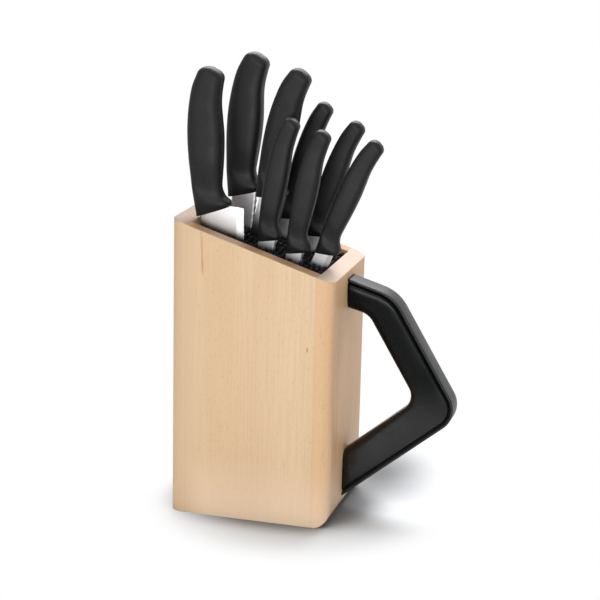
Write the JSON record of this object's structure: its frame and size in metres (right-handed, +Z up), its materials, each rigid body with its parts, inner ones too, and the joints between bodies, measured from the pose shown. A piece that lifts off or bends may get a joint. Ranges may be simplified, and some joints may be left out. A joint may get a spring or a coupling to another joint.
{
  "type": "knife block with knives",
  "caption": "Slant-topped wooden knife block with an angular carry handle on one end, its pocket filled with upright bristles that hold curved-handled kitchen knives.",
  "frame": {"origin": "centre of the block's flat underside, on the base board", "axes": "+X from the tall end towards the carry handle, +Y from the front to the back, +Z up"},
  "size_m": [0.2287, 0.115, 0.3783],
  "materials": {
    "beech_end_boards": "oiled beech, end grain along the slanted rim",
    "beech_side_boards": "oiled beech, upright grain",
    "beech_dowels": "raw beech",
    "insert_plastic": "matt black",
    "bristle_plastic": "matt black, flexible",
    "carry_handle_plastic": "satin black",
    "strap_plastic": "satin black",
    "screw_steel": "zinc plated",
    "bush_brass": "turned",
    "blade_steel": "fine satin grind",
    "knife_handle_plastic": "fine-textured satin black"
  },
  "bodies": {
    "block": {"tall_end_board": "beech_end_boards", "handle_end_board": "beech_end_boards", "front_board": "beech_side_boards", "back_board": "beech_side_boards", "base_board": "beech_side_boards", "dowels": "beech_dowels", "insert_tray": "insert_plastic", "bristles": "bristle_plastic", "carry_handle": "carry_handle_plastic", "handle_strap": "strap_plastic", "handle_screws": "screw_steel", "handle_bushes": "bush_brass"},
    "chef_knife": {"chef_knife_blade": "blade_steel", "chef_knife_handle": "knife_handle_plastic"},
    "bread_knife": {"bread_knife_blade": "blade_steel", "bread_knife_handle": "knife_handle_plastic"},
    "carving_knife": {"carving_knife_blade": "blade_steel", "carving_knife_handle": "knife_handle_plastic"},
    "utility_knife": {"utility_knife_blade": "blade_steel", "utility_knife_handle": "knife_handle_plastic"},
    "steak_knife": {"steak_knife_blade": "blade_steel", "steak_knife_handle": "knife_handle_plastic"},
    "tomato_knife": {"tomato_knife_blade": "blade_steel", "tomato_knife_handle": "knife_handle_plastic"},
    "table_knife": {"table_knife_blade": "blade_steel", "table_knife_handle": "knife_handle_plastic"},
    "paring_knife": {"paring_knife_blade": "blade_steel", "paring_knife_handle": "knife_handle_plastic"}
  },
  "joints": [
    {"name": "chef_knife_draw", "type": "slide", "parent": "block", "child": "chef_knife", "axis": [-0.0175, 0, 0.9998], "range_m": [0, 0.205]},
    {"name": "bread_knife_draw", "type": "slide", "parent": "block", "child": "bread_knife", "axis": [0.0872, 0, 0.9962], "range_m": [0, 0.203]},
    {"name": "carving_knife_draw", "type": "slide", "parent": "block", "child": "carving_knife", "axis": [0.2334, 0, 0.9724], "range_m": [0, 0.159]},
    {"name": "utility_knife_draw", "type": "slide", "parent": "block", "child": "utility_knife", "axis": [0.2924, 0, 0.9563], "range_m": [0, 0.117]},
    {"name": "steak_knife_draw", "type": "slide", "parent": "block", "child": "steak_knife", "axis": [0.342, 0, 0.9397], "range_m": [0, 0.115]},
    {"name": "tomato_knife_draw", "type": "slide", "parent": "block", "child": "tomato_knife", "axis": [0.1822, 0, 0.9833], "range_m": [0, 0.113]},
    {"name": "table_knife_draw", "type": "slide", "parent": "block", "child": "table_knife", "axis": [0.2011, 0, 0.9796], "range_m": [0, 0.109]},
    {"name": "paring_knife_draw", "type": "slide", "parent": "block", "child": "paring_knife", "axis": [0.3987, 0, 0.9171], "range_m": [0, 0.089]}
  ]
}
